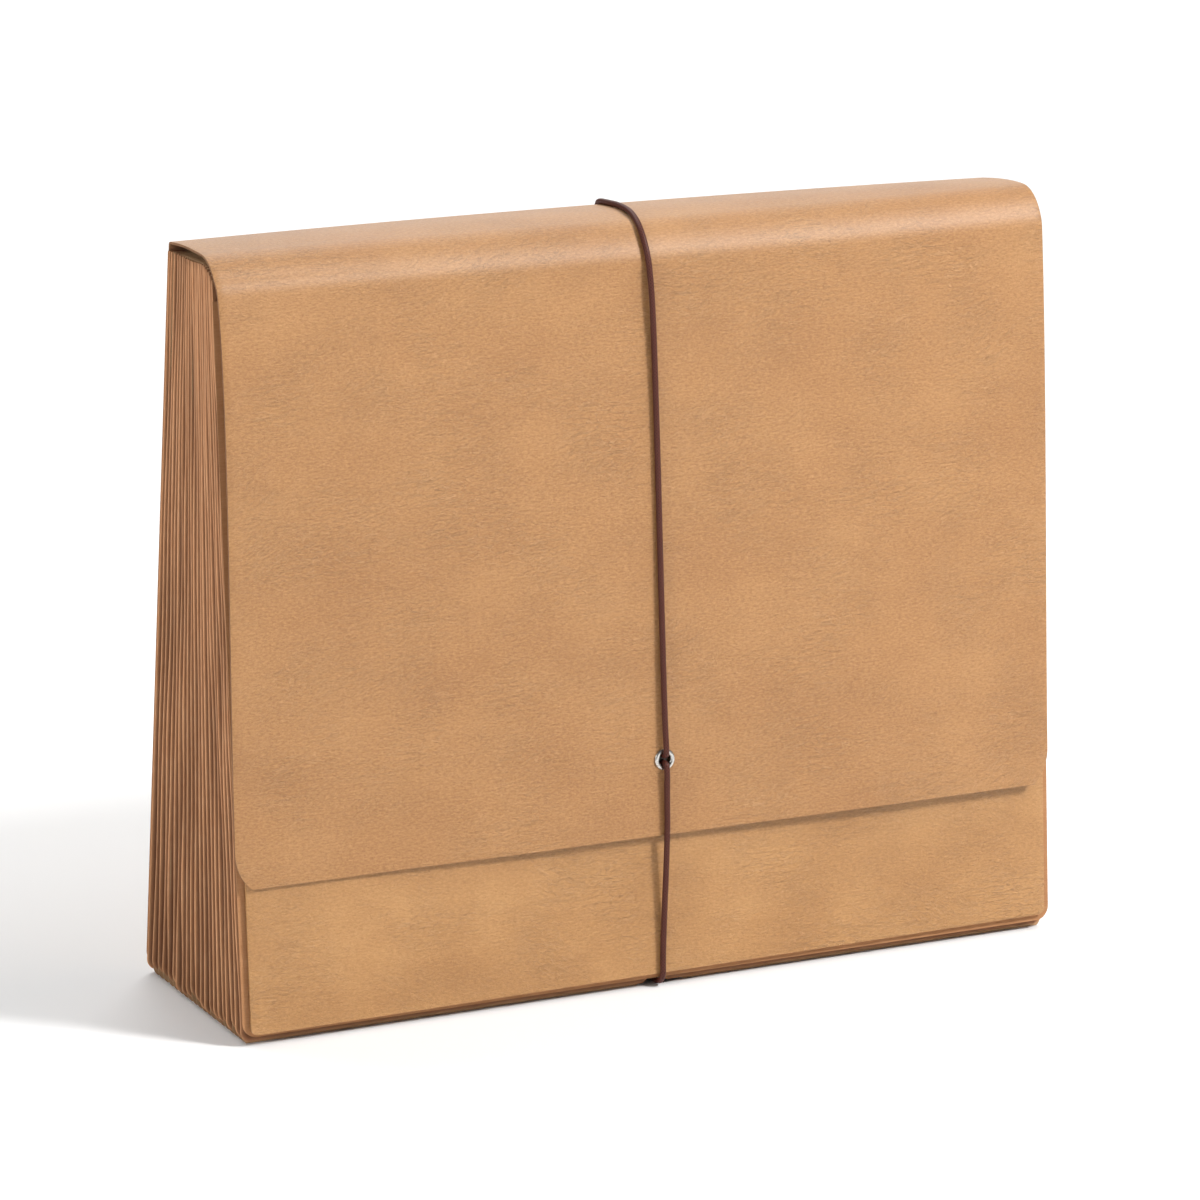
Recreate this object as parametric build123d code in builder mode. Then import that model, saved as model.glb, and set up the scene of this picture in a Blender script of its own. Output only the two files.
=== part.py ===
from build123d import *
from math import radians, sin, sqrt, tan
import os

# A letter-size accordion file: grained board covers, a pleated paper body with a card in every ridge,
# a flap creased to the back board and an elastic loop whose ends meet in an eyelet.
# Frame: +X to the right seen from the front, +Y to the back, +Z up, origin on the floor under the middle.

# The pleated body, from the back leaf (index 0) to the front leaf (index pocket_count)
pocket_count = 21
file_width = 305.0
foot_depth = 89.4
mouth_depth = 38.0
mouth_height = 255.0
mouth_setback = 16.3
body_corner = 5.0

# How much the leaves crowd towards the front, as a share of an even spacing
foot_crowding_share = 0.12
mouth_crowding_share = 0.3

# Sheets
board_thickness = 0.8
leaf_thickness = 0.4
card_thickness = 0.3
paper_thickness = 0.22

# Pleats: a flat margin glued to the card, then a fold that runs inwards to the next pleat
glue_margin = 3.4
glue_gap = 0.02
margin_lap = 0.2
ridge_wall = 0.8
ridge_fit = 0.05
pleat_lift = 0.1
fold_depth = 12.0
fold_gap = 0.05

# Shallow dent in the lower edges, where the elastic passes under the file
cord_x = 1.5
dent_depth = 2.4
dent_radius = 18.0

# Cards: cut back along the top between the shoulders, except for one bare index tab
shoulder_width = 26.0
tab_height = 7.0
tab_columns = 5
tab_slope = 4.0
tab_least_gap = 12.0

# Covers
leaf_lift = 3.0
front_margin_side = 2.4
front_margin_foot = 2.4
front_drop = 7.6
front_leaf_drop = 1.5
front_corner = 2.4
cover_margin_side = 0.5
crease_lift = 6.0
crease_gap = 0.05
crease_round = 0.75

# Flap
flap_top_slope = 1.5
flap_bend = 12.2
flap_lower_rise = 53.2
flap_gap_mouth = 0.7
flap_gap_low = 3.1
flap_corner_rise = 12.5
flap_corner_inset = 5.6
mouth_clearance = 2.2

# Eyelet, its washer and the crimp behind it
eyelet_rise = 26.0
eyelet_hole = 2.2
eyelet_wall = 0.3
eyelet_flange = 3.7
eyelet_flange_height = 0.55
eyelet_brow = 0.25
eyelet_lip = 3.2
eyelet_lip_height = 0.4
eyelet_fit = 0.05
washer_radius = 4.2
washer_thickness = 0.35
clip_length = 6.6
clip_width = 3.4
clip_thickness = 1.4
clip_round = 0.6
clip_gap = 0.05
strand_spacing = 2.3

# Elastic: its route (Y, Z) from the crimp up the flap, over, down the back, under and up to the crimp
cord_diameter = 2.0
clip_grip = 1.2
cord_floor_gap = 0.25
cord_skin_gap = 0.06
cord_eyelet_gap = 0.45
cord_eyelet_bend = 2.0
cord_crease_bend = 1.9
cord_edge_bend = 2.0
cord_lip_bend = 9.0

overrun = 5.0

# Worked out from the sizes above
half_width = file_width / 2
front_top = mouth_height - front_drop
crease_rise = mouth_height + crease_lift
half_card = card_thickness / 2
half_leaf = leaf_thickness / 2
front_foot_y = -foot_depth / 2
front_mouth_y = front_foot_y + mouth_setback
cover_half_width = half_width - cover_margin_side
board_half_width = half_width - front_margin_side
card_half_width = half_width - ridge_wall - ridge_fit


# How far back a leaf stands, as a share of the body's depth
def back_share(index, crowding_share):
    even_share = 1 - index / pocket_count
    return even_share * (1 - crowding_share * (1 - even_share))


# Plane of one leaf: local X across the file, local Y up the leaf, local Z to the front
def leaf_plane(index):
    foot_y = front_foot_y + foot_depth * back_share(index, foot_crowding_share)
    mouth_y = front_mouth_y + mouth_depth * back_share(index, mouth_crowding_share)
    return Plane(
        origin=(0, foot_y, 0),
        x_dir=(1, 0, 0),
        z_dir=(0, -mouth_height, mouth_y - foot_y),
    )


# The same plane facing the front (side 1) or the back (side -1)
def facing_plane(index, side):
    plane = leaf_plane(index)
    return Plane(origin=plane.origin, x_dir=plane.x_dir * side, z_dir=plane.z_dir * side)


# Half the space between a leaf and the next one on that side, at a height up the leaf
def half_pitch(index, side, height):
    next_point = leaf_plane(index + side).from_local_coords(Vector(0, height, 0))
    return facing_plane(index, side).to_local_coords(next_point).Z / 2


# Where two lines in the YZ plane meet, each given by a point and a direction
def meeting_point(point, along, other, other_along):
    cross = along.Y * other_along.Z - along.Z * other_along.Y
    gap = other - point
    return point + along * ((gap.Y * other_along.Z - gap.Z * other_along.Y) / cross)


back_plane = leaf_plane(0)
front_plane = leaf_plane(pocket_count)

# Inside line of the flap: crease, corner of the bend, lower edge
board_face = half_leaf + board_thickness
crease = back_plane.from_local_coords(Vector(0, crease_rise, -board_face))
flap_forward = Vector(0, -1, tan(radians(flap_top_slope))).normalized()
flap_under = crease + flap_forward.cross(Vector(1, 0, 0)) * -board_thickness
panel_top = front_plane.from_local_coords(Vector(0, front_top, board_face + flap_gap_mouth))
panel_low = front_plane.from_local_coords(Vector(0, flap_lower_rise, board_face + flap_gap_low))
panel_down = (panel_low - panel_top).normalized()
bend_corner = meeting_point(flap_under, flap_forward, panel_low, panel_down)
bend_inwards = (panel_down - flap_forward).normalized()
bend_half_angle = (flap_forward * -1).get_angle(panel_down) / 2
bend_centre = bend_corner + bend_inwards * (flap_bend / sin(radians(bend_half_angle)))

# Outside face of the flap's front panel at the eyelet, with its normal to the front
panel_out = panel_down.cross(Vector(1, 0, 0))
eyelet_centre = panel_low - panel_down * eyelet_rise + panel_out * board_thickness
eyelet_plane = Plane(origin=eyelet_centre, x_dir=(1, 0, 0), z_dir=panel_out).move(Location((cord_x, 0, 0)))


# How far up a leaf its top edge lies, to follow the flap's inside with a clearance
def leaf_top(index):
    plane = leaf_plane(index)
    mouth_y = plane.from_local_coords(Vector(0, mouth_height, half_pitch(index, 1, mouth_height))).Y
    ahead = bend_centre.Y - mouth_y
    if ahead > 0:
        ceiling = bend_centre.Z + sqrt(flap_bend**2 - ahead**2)
    else:
        ceiling = flap_under.Z + (flap_under.Y - mouth_y) * tan(radians(flap_top_slope))
    return (ceiling - mouth_clearance) / plane.y_dir.Z


# Outline of a leaf with rounded lower corners
def leaf_face(plane, half, foot, top, corner):
    with BuildSketch(plane) as face:
        with Locations((0, foot)):
            Rectangle(2 * half, top - foot, align=(Align.CENTER, Align.MIN))
        fillet(face.vertices().group_by(Axis.Y)[0], corner)
    return face.sketch


# The same outline with the dent for the elastic in its lower edge
def dented_face(plane, dent_x, half, foot, top, corner, inset):
    with BuildSketch(plane) as face:
        with Locations((0, foot)):
            Rectangle(2 * half, top - foot, align=(Align.CENTER, Align.MIN))
        fillet(face.vertices().group_by(Axis.Y)[0], corner)
        with Locations((dent_x, dent_depth + inset - dent_radius)):
            Circle(dent_radius, mode=Mode.SUBTRACT)
    return face.sketch


# Flat panels of one fold, from the glued margin in to the next pleat: two on each side and one at the foot
def fold_panels(index, side, top, inside):
    plane = facing_plane(index, side)
    start = glue_margin - margin_lap
    reaches = [half_pitch(index, side, height) - fold_gap - paper_thickness for height in (fold_depth, top)]
    outer_half = half_width - start
    inner_half = half_width - fold_depth
    corners = {}
    for name, sign in (("left", -1), ("right", 1)):
        corners[name] = (
            plane.from_local_coords(Vector(sign * outer_half, top, inside)),
            plane.from_local_coords(Vector(sign * outer_half, start, inside)),
            plane.from_local_coords(Vector(sign * inner_half, fold_depth, reaches[0])),
            plane.from_local_coords(Vector(sign * inner_half, top, reaches[1])),
        )
    outlines = [(*corners["left"][1:3], *corners["right"][2:0:-1])]
    for outer_top, outer_low, inner_low, inner_top in corners.values():
        outlines.append((outer_top, outer_low, inner_low))
        outlines.append((outer_top, inner_low, inner_top))
    return [Face(Wire.make_polygon(outline)) for outline in outlines]


# One side of a pleat: the glued margin and the fold that leads from it to the next leaf
def half_pleat(index, side, sheet_thickness, wall):
    plane = facing_plane(index, side)
    top = leaf_top(index)
    inside = sheet_thickness / 2 + glue_gap
    outside = inside + paper_thickness
    panels = fold_panels(index, side, top, inside)
    with BuildPart() as half:
        extrude(
            dented_face(plane, cord_x * side, half_width, pleat_lift, top, body_corner, 0),
            amount=outside,
        )
        with BuildSketch(plane):
            with Locations((0, glue_margin)):
                Rectangle(2 * (half_width - glue_margin), top, align=(Align.CENTER, Align.MIN))
        extrude(amount=outside, mode=Mode.SUBTRACT)
        with BuildSketch(plane):
            with Locations((0, -overrun)):
                Rectangle(2 * (half_width - wall), top + 2 * overrun, align=(Align.CENTER, Align.MIN))
        extrude(amount=inside, mode=Mode.SUBTRACT)
        for panel in panels:
            extrude(panel, amount=paper_thickness, dir=plane.z_dir)
    return half.part


# Pleats, each wrapped round the edge of its card
os.makedirs("parts", exist_ok=True)
for index in range(1, pocket_count):
    front_half = half_pleat(index, 1, card_thickness, ridge_wall)
    back_half = half_pleat(index, -1, card_thickness, ridge_wall)
    with BuildPart() as pleat:
        add(front_half)
        add(back_half)
    pleat.part.label = f"pleat_{index:02d}"
    export_step(pleat.part, f"parts/pleat_{index:02d}.step")

# Half folds that join the pleats to the back leaf and to the front leaf
back_side = half_pleat(0, 1, leaf_thickness, -overrun)
with BuildPart() as back_fold:
    add(back_side)
back_fold.part.label = "back_fold"
export_step(back_fold.part, "parts/back_fold.step")

front_side = half_pleat(pocket_count, -1, leaf_thickness, -overrun)
with BuildPart() as front_fold:
    add(front_side)
front_fold.part.label = "front_fold"
export_step(front_fold.part, "parts/front_fold.step")

# Cards between the pockets, trimmed level at the floor, their tabs stepping across in columns
tab_field = 2 * (card_half_width - shoulder_width - tab_least_gap)
tab_width = tab_field / tab_columns
card_corner = body_corner - ridge_wall
for index in range(1, pocket_count):
    plane = leaf_plane(index)
    top = leaf_top(index)
    tab_left = (index - 1) % tab_columns * tab_width - tab_field / 2
    cuts = (
        (shoulder_width - card_half_width, tab_left),
        (tab_left + tab_width, card_half_width - shoulder_width),
    )
    with BuildPart() as divider:
        with BuildSketch(plane):
            add(dented_face(Plane.XY, cord_x, card_half_width, -ridge_wall, top, card_corner, ridge_fit))
            for left, right in cuts:
                with BuildLine():
                    Polyline(
                        (left, top),
                        (left + tab_slope, top - tab_height),
                        (right - tab_slope, top - tab_height),
                        (right, top),
                        close=True,
                    )
                make_face(mode=Mode.SUBTRACT)
        extrude(amount=half_card, both=True)
        split(bisect_by=Plane.XY, keep=Keep.TOP)
    divider.part.label = f"divider_{index:02d}"
    export_step(divider.part, f"parts/divider_{index:02d}.step")

# First and last leaf of the pleated paper
back_leaf_top = leaf_top(0)
with BuildPart() as back_leaf:
    extrude(
        leaf_face(back_plane, half_width, leaf_lift, back_leaf_top, body_corner),
        amount=half_leaf,
        both=True,
    )
back_leaf.part.label = "back_leaf"
export_step(back_leaf.part, "parts/back_leaf.step")

front_leaf_top = front_top - front_leaf_drop
with BuildPart() as front_leaf:
    extrude(
        leaf_face(front_plane, half_width, leaf_lift, front_leaf_top, body_corner),
        amount=half_leaf,
        both=True,
    )
front_leaf.part.label = "front_leaf"
export_step(front_leaf.part, "parts/front_leaf.step")

# Front board, set in from the edges of the leaf that it is glued to
with BuildPart() as front_board:
    front_foot = leaf_lift + front_margin_foot
    with BuildSketch(front_plane.offset(half_leaf)):
        with Locations((0, front_foot)):
            Rectangle(2 * board_half_width, front_top - front_foot, align=(Align.CENTER, Align.MIN))
        fillet(vertices(), front_corner)
    extrude(amount=board_thickness)
front_board.part.label = "front_board"
export_step(front_board.part, "parts/front_board.step")

# Back board, up to the underside of the crease
back_top = crease_rise - board_thickness - crease_gap
with BuildPart() as back_board:
    extrude(
        leaf_face(back_plane.offset(-half_leaf), cover_half_width, leaf_lift, back_top, body_corner),
        amount=-board_thickness,
    )
back_board.part.label = "back_board"
export_step(back_board.part, "parts/back_board.step")

# Flap: one sheet over the top and down the front, with shaped lower corners and the hole for the eyelet
with BuildPart() as flap:
    with BuildSketch(Plane.YZ):
        with BuildLine():
            FilletPolyline(
                (flap_under.Y, flap_under.Z),
                (bend_corner.Y, bend_corner.Z),
                (panel_low.Y, panel_low.Z),
                radius=flap_bend,
            )
            offset(amount=board_thickness, side=Side.RIGHT)
        make_face()
    extrude(amount=cover_half_width, both=True)
    fillet(flap.edges().filter_by(Axis.X).sort_by_distance(crease)[0], crease_round)
    with BuildSketch(Plane.XZ):
        with BuildLine():
            arc_top = (cover_half_width, panel_low.Z + flap_corner_rise)
            arc_end = (cover_half_width - flap_corner_inset, panel_low.Z)
            TangentArc(arc_top, arc_end, tangent=(0, -1))
            Polyline(
                arc_end,
                (cover_half_width - flap_corner_inset, panel_low.Z - overrun),
                (cover_half_width + overrun, panel_low.Z - overrun),
                (cover_half_width + overrun, panel_low.Z + flap_corner_rise),
                arc_top,
            )
        make_face()
        mirror(about=Plane.YZ)
    extrude(amount=foot_depth, both=True, mode=Mode.SUBTRACT)
    with BuildSketch(eyelet_plane):
        Circle(eyelet_hole + eyelet_wall + eyelet_fit)
    extrude(amount=board_thickness + overrun, both=True, mode=Mode.SUBTRACT)
flap.part.label = "flap"
export_step(flap.part, "parts/flap.step")

# Eyelet: domed flange in front, barrel through the flap, rolled lip behind the washer
lip_face = -board_thickness - washer_thickness
eyelet_profile = Plane(
    origin=eyelet_plane.origin,
    x_dir=eyelet_plane.x_dir,
    z_dir=eyelet_plane.x_dir.cross(eyelet_plane.z_dir),
)
with BuildPart() as eyelet:
    with BuildSketch(eyelet_profile):
        with BuildLine():
            ThreePointArc(
                (eyelet_hole, eyelet_brow),
                ((eyelet_hole + eyelet_flange) / 2, eyelet_flange_height),
                (eyelet_flange, 0),
            )
            Polyline(
                (eyelet_flange, 0),
                (eyelet_hole + eyelet_wall, 0),
                (eyelet_hole + eyelet_wall, lip_face),
                (eyelet_lip, lip_face),
                (eyelet_lip, lip_face - eyelet_lip_height),
                (eyelet_hole, lip_face - eyelet_lip_height),
                (eyelet_hole, eyelet_brow),
            )
        make_face()
    revolve(axis=Axis(eyelet_plane.origin, eyelet_plane.z_dir))
eyelet.part.label = "eyelet"
export_step(eyelet.part, "parts/eyelet.step")

with BuildPart() as eyelet_washer:
    with BuildSketch(eyelet_plane.offset(-board_thickness)):
        Circle(washer_radius)
        Circle(eyelet_hole + eyelet_wall + eyelet_fit, mode=Mode.SUBTRACT)
    extrude(amount=-washer_thickness)
eyelet_washer.part.label = "eyelet_washer"
export_step(eyelet_washer.part, "parts/eyelet_washer.step")

# Crimp that grips both ends of the elastic behind the eyelet
cord_radius = cord_diameter / 2
clip_face = lip_face - eyelet_lip_height - clip_gap
with BuildPart() as cord_clip:
    with BuildSketch(eyelet_plane.offset(clip_face)):
        RectangleRounded(clip_width, clip_length, clip_round)
    extrude(amount=-clip_thickness)
    with BuildSketch(eyelet_plane.offset(clip_face)):
        with GridLocations(0, strand_spacing, 1, 2):
            Circle(cord_radius + eyelet_fit)
    extrude(amount=-clip_grip, mode=Mode.SUBTRACT)
cord_clip.part.label = "cord_clip"
export_step(cord_clip.part, "parts/cord_clip.step")

# Elastic, one tube from the crimp round the file and back
strand_out = eyelet_flange_height + cord_radius + cord_eyelet_gap
strand_in = clip_face - clip_grip + clip_gap
skin = cord_radius + cord_skin_gap
top_out = flap_forward.cross(Vector(1, 0, 0))
back_out = back_plane.z_dir * -1
upper_end = eyelet_plane.from_local_coords(Vector(0, strand_spacing / 2, strand_in))
upper_turn = eyelet_plane.from_local_coords(Vector(0, strand_spacing / 2, strand_out))
lower_end = eyelet_plane.from_local_coords(Vector(0, -strand_spacing / 2, strand_in))
lower_turn = eyelet_plane.from_local_coords(Vector(0, -strand_spacing / 2, strand_out))
flap_lip = panel_low + panel_out * (board_thickness + skin)
over_top = crease + top_out * skin
over_bend = meeting_point(over_top, flap_forward, flap_lip, panel_down)
over_crease = meeting_point(over_top, flap_forward, crease + back_out * skin, back_plane.y_dir)
under_level = Vector(0, 0, cord_floor_gap + cord_radius)
under_back = meeting_point(over_crease, back_plane.y_dir, under_level, Vector(0, 1, 0))
front_skin = front_plane.from_local_coords(Vector(0, leaf_lift + front_margin_foot, board_face + skin))
under_front = Vector(0, front_skin.Y, cord_floor_gap + cord_radius)
cord_route = [
    upper_end,
    upper_turn,
    over_bend,
    over_crease,
    under_back,
    under_front,
    flap_lip,
    lower_turn,
    lower_end,
]
cord_bends = [
    cord_eyelet_bend,
    flap_bend + board_thickness + skin,
    cord_crease_bend,
    cord_edge_bend,
    cord_edge_bend,
    cord_lip_bend,
    cord_eyelet_bend,
]
with BuildPart() as elastic_cord:
    with BuildLine() as route:
        FilletPolyline([(cord_x, point.Y, point.Z) for point in cord_route], radius=cord_bends)
    with BuildSketch(Plane(origin=route.line @ 0, z_dir=route.line % 0)):
        Circle(cord_radius)
    sweep(path=route.line)
elastic_cord.part.label = "elastic_cord"
export_step(elastic_cord.part, "parts/elastic_cord.step")
elastic_length = sum(edge.length for edge in route.edges())
print(f"elastic length {elastic_length:.1f} mm, volume {elastic_cord.part.volume:.1f} mm3")
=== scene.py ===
import math

import bmesh
import bpy
import numpy as np
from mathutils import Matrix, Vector


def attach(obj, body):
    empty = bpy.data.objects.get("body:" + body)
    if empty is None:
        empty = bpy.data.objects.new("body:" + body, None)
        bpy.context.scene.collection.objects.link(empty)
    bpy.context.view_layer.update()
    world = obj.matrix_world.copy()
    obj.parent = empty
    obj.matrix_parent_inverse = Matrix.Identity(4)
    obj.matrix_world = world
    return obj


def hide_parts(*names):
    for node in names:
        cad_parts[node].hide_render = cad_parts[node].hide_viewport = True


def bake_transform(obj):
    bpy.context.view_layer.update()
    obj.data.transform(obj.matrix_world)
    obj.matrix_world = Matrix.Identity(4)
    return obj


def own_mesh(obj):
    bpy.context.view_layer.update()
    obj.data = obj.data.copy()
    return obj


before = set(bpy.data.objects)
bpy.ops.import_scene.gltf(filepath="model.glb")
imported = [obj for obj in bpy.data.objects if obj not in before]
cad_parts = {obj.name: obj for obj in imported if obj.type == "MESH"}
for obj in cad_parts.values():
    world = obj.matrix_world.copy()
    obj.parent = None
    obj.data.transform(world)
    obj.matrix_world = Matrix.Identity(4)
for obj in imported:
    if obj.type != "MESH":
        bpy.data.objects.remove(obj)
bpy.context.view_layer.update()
mm = 0.001
rng = np.random.default_rng(11)
print("frame loaded:", len(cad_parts), "nodes")


# Camera, as the photograph was taken
viewpoint = {
    "place": (-738.1, -1529.1, 540.5), "target": (-26.0, -51.25, 139.0),
    "lens": 153.37, "sensor": 36.0,
}


def aim(place, target):
    # the turn that points a camera or lamp from its place at the target
    return (Vector(target) - Vector(place)).to_track_quat("-Z", "Y").to_euler()


camera = bpy.data.objects.new("camera", bpy.data.cameras.new("camera"))
camera.data.lens = viewpoint["lens"]
camera.data.sensor_width = viewpoint["sensor"]
camera.data.sensor_fit = "HORIZONTAL"
camera.location = Vector(viewpoint["place"]) * mm
camera.rotation_euler = aim(viewpoint["place"], viewpoint["target"])
bpy.context.scene.collection.objects.link(camera)
bpy.context.scene.camera = camera
print("camera set")


# Mesh tools
flatSize = 0.56  # metres to one unit of the sheets' flat layout


def flatLayout(across, along, start=(0, 0)):
    # flat coordinates of a sheet from its lengths in mm, moved by start
    return np.stack(np.broadcast_arrays(
        (across + start[0]) / 1000 / flatSize, (along + start[1]) / 1000 / flatSize
    ), axis=-1)


def gridObject(name, points, uv, materials, keep=None, marks=None):
    # points[i, j] are places in mm on a grid of two parameters and uv[i, j] the flat
    # coordinates; keep picks the faces, marks are named values per point
    rows, cols = points.shape[:2]
    index = np.arange(rows * cols).reshape(rows, cols)
    quads = np.stack(
        [index[:-1, :-1], index[1:, :-1], index[1:, 1:], index[:-1, 1:]], axis=-1
    ).reshape(-1, 4)
    if keep is not None:
        quads = quads[keep.ravel()]
    mesh = bpy.data.meshes.new(name)
    mesh.from_pydata((points.reshape(-1, 3) * mm).tolist(), [], quads.tolist())
    layer = mesh.uv_layers.new(name="UVMap")
    corners = uv.reshape(-1, 2)[quads.ravel()]
    layer.data.foreach_set("uv", corners.astype(np.float32).ravel())
    mesh.polygons.foreach_set("use_smooth", np.ones(len(quads), bool))
    for label, values in (marks or {}).items():
        mark = mesh.attributes.new(label, "FLOAT", "POINT")
        mark.data.foreach_set("value", values.astype(np.float32).ravel())
    for material in materials:
        mesh.materials.append(material)
    mesh.update()
    piece = bpy.data.objects.new(name, mesh)
    bpy.context.scene.collection.objects.link(piece)
    return piece


def mergeSeam(piece, gap=1e-6):
    # joins the first and last column of a closed grid
    bm = bmesh.new()
    bm.from_mesh(piece.data)
    bmesh.ops.remove_doubles(bm, verts=bm.verts, dist=gap)
    bmesh.ops.recalc_face_normals(bm, faces=bm.faces)
    bm.to_mesh(piece.data)
    bm.free()


def thicken(piece, thickness, rim=0.0, inner=0):
    # gives a sheet its wall, inwards from the modelled face, with softened edges
    wall = piece.modifiers.new("wall", "SOLIDIFY")
    wall.thickness = thickness * mm
    wall.offset = -1
    wall.use_even_offset = True
    wall.material_offset = inner
    wall.material_offset_rim = inner
    if rim:
        edge = piece.modifiers.new("edge", "BEVEL")
        edge.width = rim * mm
        edge.segments = 2
        edge.limit_method = "ANGLE"
        edge.angle_limit = math.radians(50)


def eased(t):
    t = np.clip(t, 0, 1)
    return t * t * (3 - 2 * t)


# Node tools
def setInputs(tree, node, inputs):
    # links what is a socket and sets what is a plain value
    for key, value in inputs.items():
        if isinstance(value, bpy.types.NodeSocket):
            tree.links.new(value, node.inputs[key])
        else:
            node.inputs[key].default_value = value


def addNode(tree, kind, inputs=None, **settings):
    made = tree.nodes.new(kind)
    for key, value in settings.items():
        setattr(made, key, value)
    setInputs(tree, made, inputs or {})
    return made


def startMaterial(name):
    material = bpy.data.materials.new(name)
    material.use_nodes = True
    tree = material.node_tree
    return material, tree, tree.nodes["Principled BSDF"]


def rampNode(tree, source, places, colours):
    made = addNode(tree, "ShaderNodeValToRGB", {"Fac": source})
    ramp = made.color_ramp
    for end, stop in ((0, 0), (1, -1)):
        ramp.elements[end].position = places[stop]
        ramp.elements[end].color = (*colours[stop], 1)
    for place, colour in zip(places[1:-1], colours[1:-1]):
        ramp.elements.new(place).color = (*colour, 1)
    return made.outputs["Color"]


def mathNode(tree, operation, first, second=0.5):
    return addNode(tree, "ShaderNodeMath", {0: first, 1: second}, operation=operation).outputs[0]


def noiseNode(tree, place, scale, detail, roughness, distortion=0.0):
    made = addNode(tree, "ShaderNodeTexNoise", {
        "Vector": place, "Scale": scale, "Detail": detail, "Roughness": roughness,
        "Distortion": distortion,
    })
    return made.outputs["Fac"]


def rangeNode(tree, value, span, low=0.0, high=1.0, interpolation="LINEAR"):
    # low to high as value goes through the span
    made = addNode(tree, "ShaderNodeMapRange", {
        "Value": value, "From Min": span[0], "From Max": span[1], "To Min": low, "To Max": high,
    }, interpolation_type=interpolation)
    return made.outputs[0]


def mixNode(tree, share, first, second):
    made = addNode(tree, "ShaderNodeMix", {0: share, 6: first, 7: second}, data_type="RGBA")
    return made.outputs[2]


def toneNode(tree, cloud, fibre, cloudShare):
    return mathNode(
        tree, "ADD", mathNode(tree, "MULTIPLY", cloud, cloudShare),
        mathNode(tree, "MULTIPLY", fibre, 1 - cloudShare)
    )


def patternPlace(tree, flat, scale, slant=0.0, seed=0.0):
    # pattern coordinates in mm: the piece's own flat layout, or its place in the
    # object, turned by slant degrees first
    place = addNode(tree, "ShaderNodeTexCoord").outputs["UV" if flat else "Object"]
    if slant:
        turn = (0, 0, math.radians(slant))
        place = addNode(
            tree, "ShaderNodeMapping", {"Vector": place, "Rotation": turn}
        ).outputs[0]
    factor = (flatSize if flat else 1.0) * 1000
    return addNode(tree, "ShaderNodeMapping", {
        "Vector": place, "Location": (seed, 2 * seed, 0),
        "Scale": tuple(factor * s for s in scale),
    }).outputs[0]


# Materials
noiseSpan = (0.3, 0.7)  # where most values of a noise lie

grainLook = {
    "deep": (0.325, 0.145, 0.046), "mid": (0.398, 0.191, 0.064), "pale": (0.470, 0.241, 0.088),
    "paintedHighlight": (0.530, 0.290, 0.125), "tones": (0.38, 0.50, 0.62), "paintedHighlightShare": 0.5,
    "cloudShare": 0.27, "cloudLong": 45.0, "cloudHigh": 30.0, "speckLong": 1.5, "speckHigh": 0.7,
    "roughness": 0.52, "glossier": 0.06, "duller": 0.10, "specular": 0.15,
    "sheen": 1.0, "sheenRoughness": 0.52,
    "pebbleLong": 1.5, "pebbleHigh": 0.75, "relief": 0.38,
    "wrinkleLong": 6.5, "wrinkleHigh": 1.9, "wrinkleThin": 0.030, "wrinkleRelief": 0.16,
    "patch": 34.0, "patchFrom": 0.36, "patchTo": 0.66, "slant": 32.0, "slantRarer": 0.05,
}


def wrinkleLines(tree, look, slant, seed):
    # thin lines where a drawn-out noise passes its middle value, only inside patches
    drawn = (1 / look["wrinkleLong"], 1 / look["wrinkleHigh"], 1.0)
    place = patternPlace(tree, True, drawn, slant, seed)
    wave = noiseNode(tree, place, 1.0, detail=2.5, roughness=0.55, distortion=0.7)
    apart = mathNode(tree, "ABSOLUTE", mathNode(tree, "SUBTRACT", wave, 0.5))
    line = rangeNode(tree, apart, (0.0, look["wrinkleThin"]), 1.0, 0.0, "SMOOTHSTEP")
    spread = patternPlace(tree, True, (1 / look["patch"],) * 3, seed=seed + 3.7)
    patch = noiseNode(tree, spread, 1.0, detail=3.0, roughness=0.6)
    span = (look["patchFrom"], look["patchTo"])
    share = rangeNode(tree, patch, span, interpolation="SMOOTHSTEP")
    return mathNode(tree, "MULTIPLY", line, share)


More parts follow.
